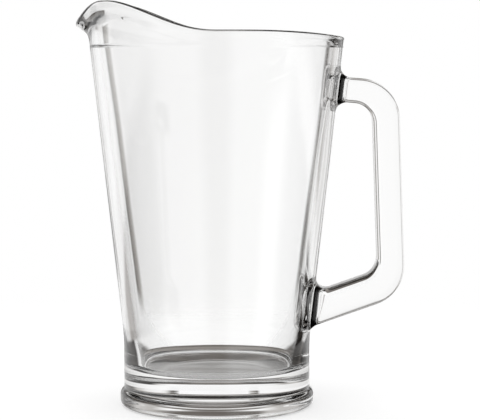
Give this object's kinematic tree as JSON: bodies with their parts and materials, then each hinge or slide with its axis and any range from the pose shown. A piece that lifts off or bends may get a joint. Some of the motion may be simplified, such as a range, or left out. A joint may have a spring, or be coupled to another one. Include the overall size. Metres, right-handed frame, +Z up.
{
  "type": "beer pitcher",
  "caption": "Clear pressed-glass pitcher with a tapered wall, heavy rounded foot, raised pouring lip and a loop handle fused to the side.",
  "frame": {"origin": "centre of the resting ring, on the table under the vessel's axis", "axes": "+Z up along the vessel's axis, -X towards the pouring lip, +X towards the handle"},
  "size_m": [0.1939, 0.1514, 0.239],
  "materials": {
    "clear_glass": "fire polished"
  },
  "bodies": {
    "root": {"body": "clear_glass", "handle": "clear_glass"}
  },
  "joints": []
}
